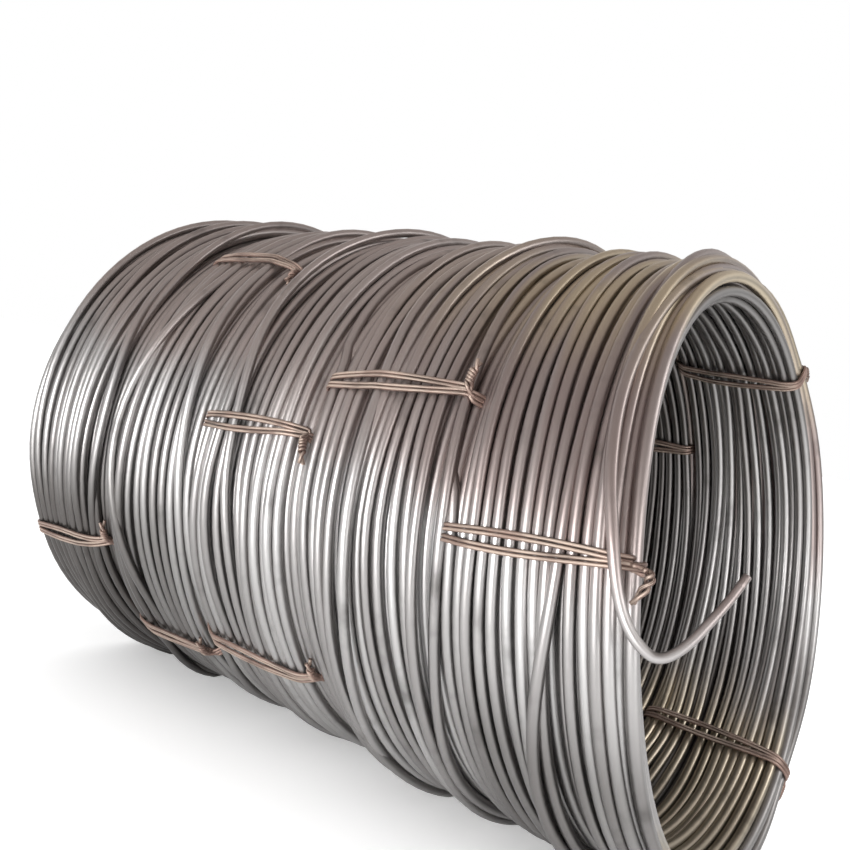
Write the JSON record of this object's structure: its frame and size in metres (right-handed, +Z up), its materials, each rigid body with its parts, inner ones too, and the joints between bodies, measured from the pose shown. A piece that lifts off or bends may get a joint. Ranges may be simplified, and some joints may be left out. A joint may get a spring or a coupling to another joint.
{
  "type": "coil of wire rod",
  "caption": "Coil of round steel wire rod lying on its side: a wide thin-walled winding with a clear bore, tied in sections with doubled annealed wire, one rod end bent free.",
  "frame": {"origin": "on the axis of the bore, midway along it", "axes": "+X along the bore towards the open end with the free rod end, +Z up as it lies on its side, -Y the side with the free rod end"},
  "size_m": [0.9945, 0.7208, 0.69],
  "materials": {
    "rod_steel": "satin drawn rod with mauve-brown tarnish and a few brassy streaks",
    "tie_wire": "annealed iron wire with dull brown rust"
  },
  "bodies": {
    "root": {"rod_coil": "rod_steel", "tie_1a": "tie_wire", "tie_1b": "tie_wire", "tie_1c": "tie_wire", "tie_2a": "tie_wire", "tie_2b": "tie_wire", "tie_2c": "tie_wire", "tie_3a": "tie_wire", "tie_3b": "tie_wire", "tie_3c": "tie_wire", "tie_4a": "tie_wire", "tie_4b": "tie_wire", "tie_4c": "tie_wire", "tie_5a": "tie_wire", "tie_5b": "tie_wire", "tie_5c": "tie_wire"}
  },
  "joints": []
}
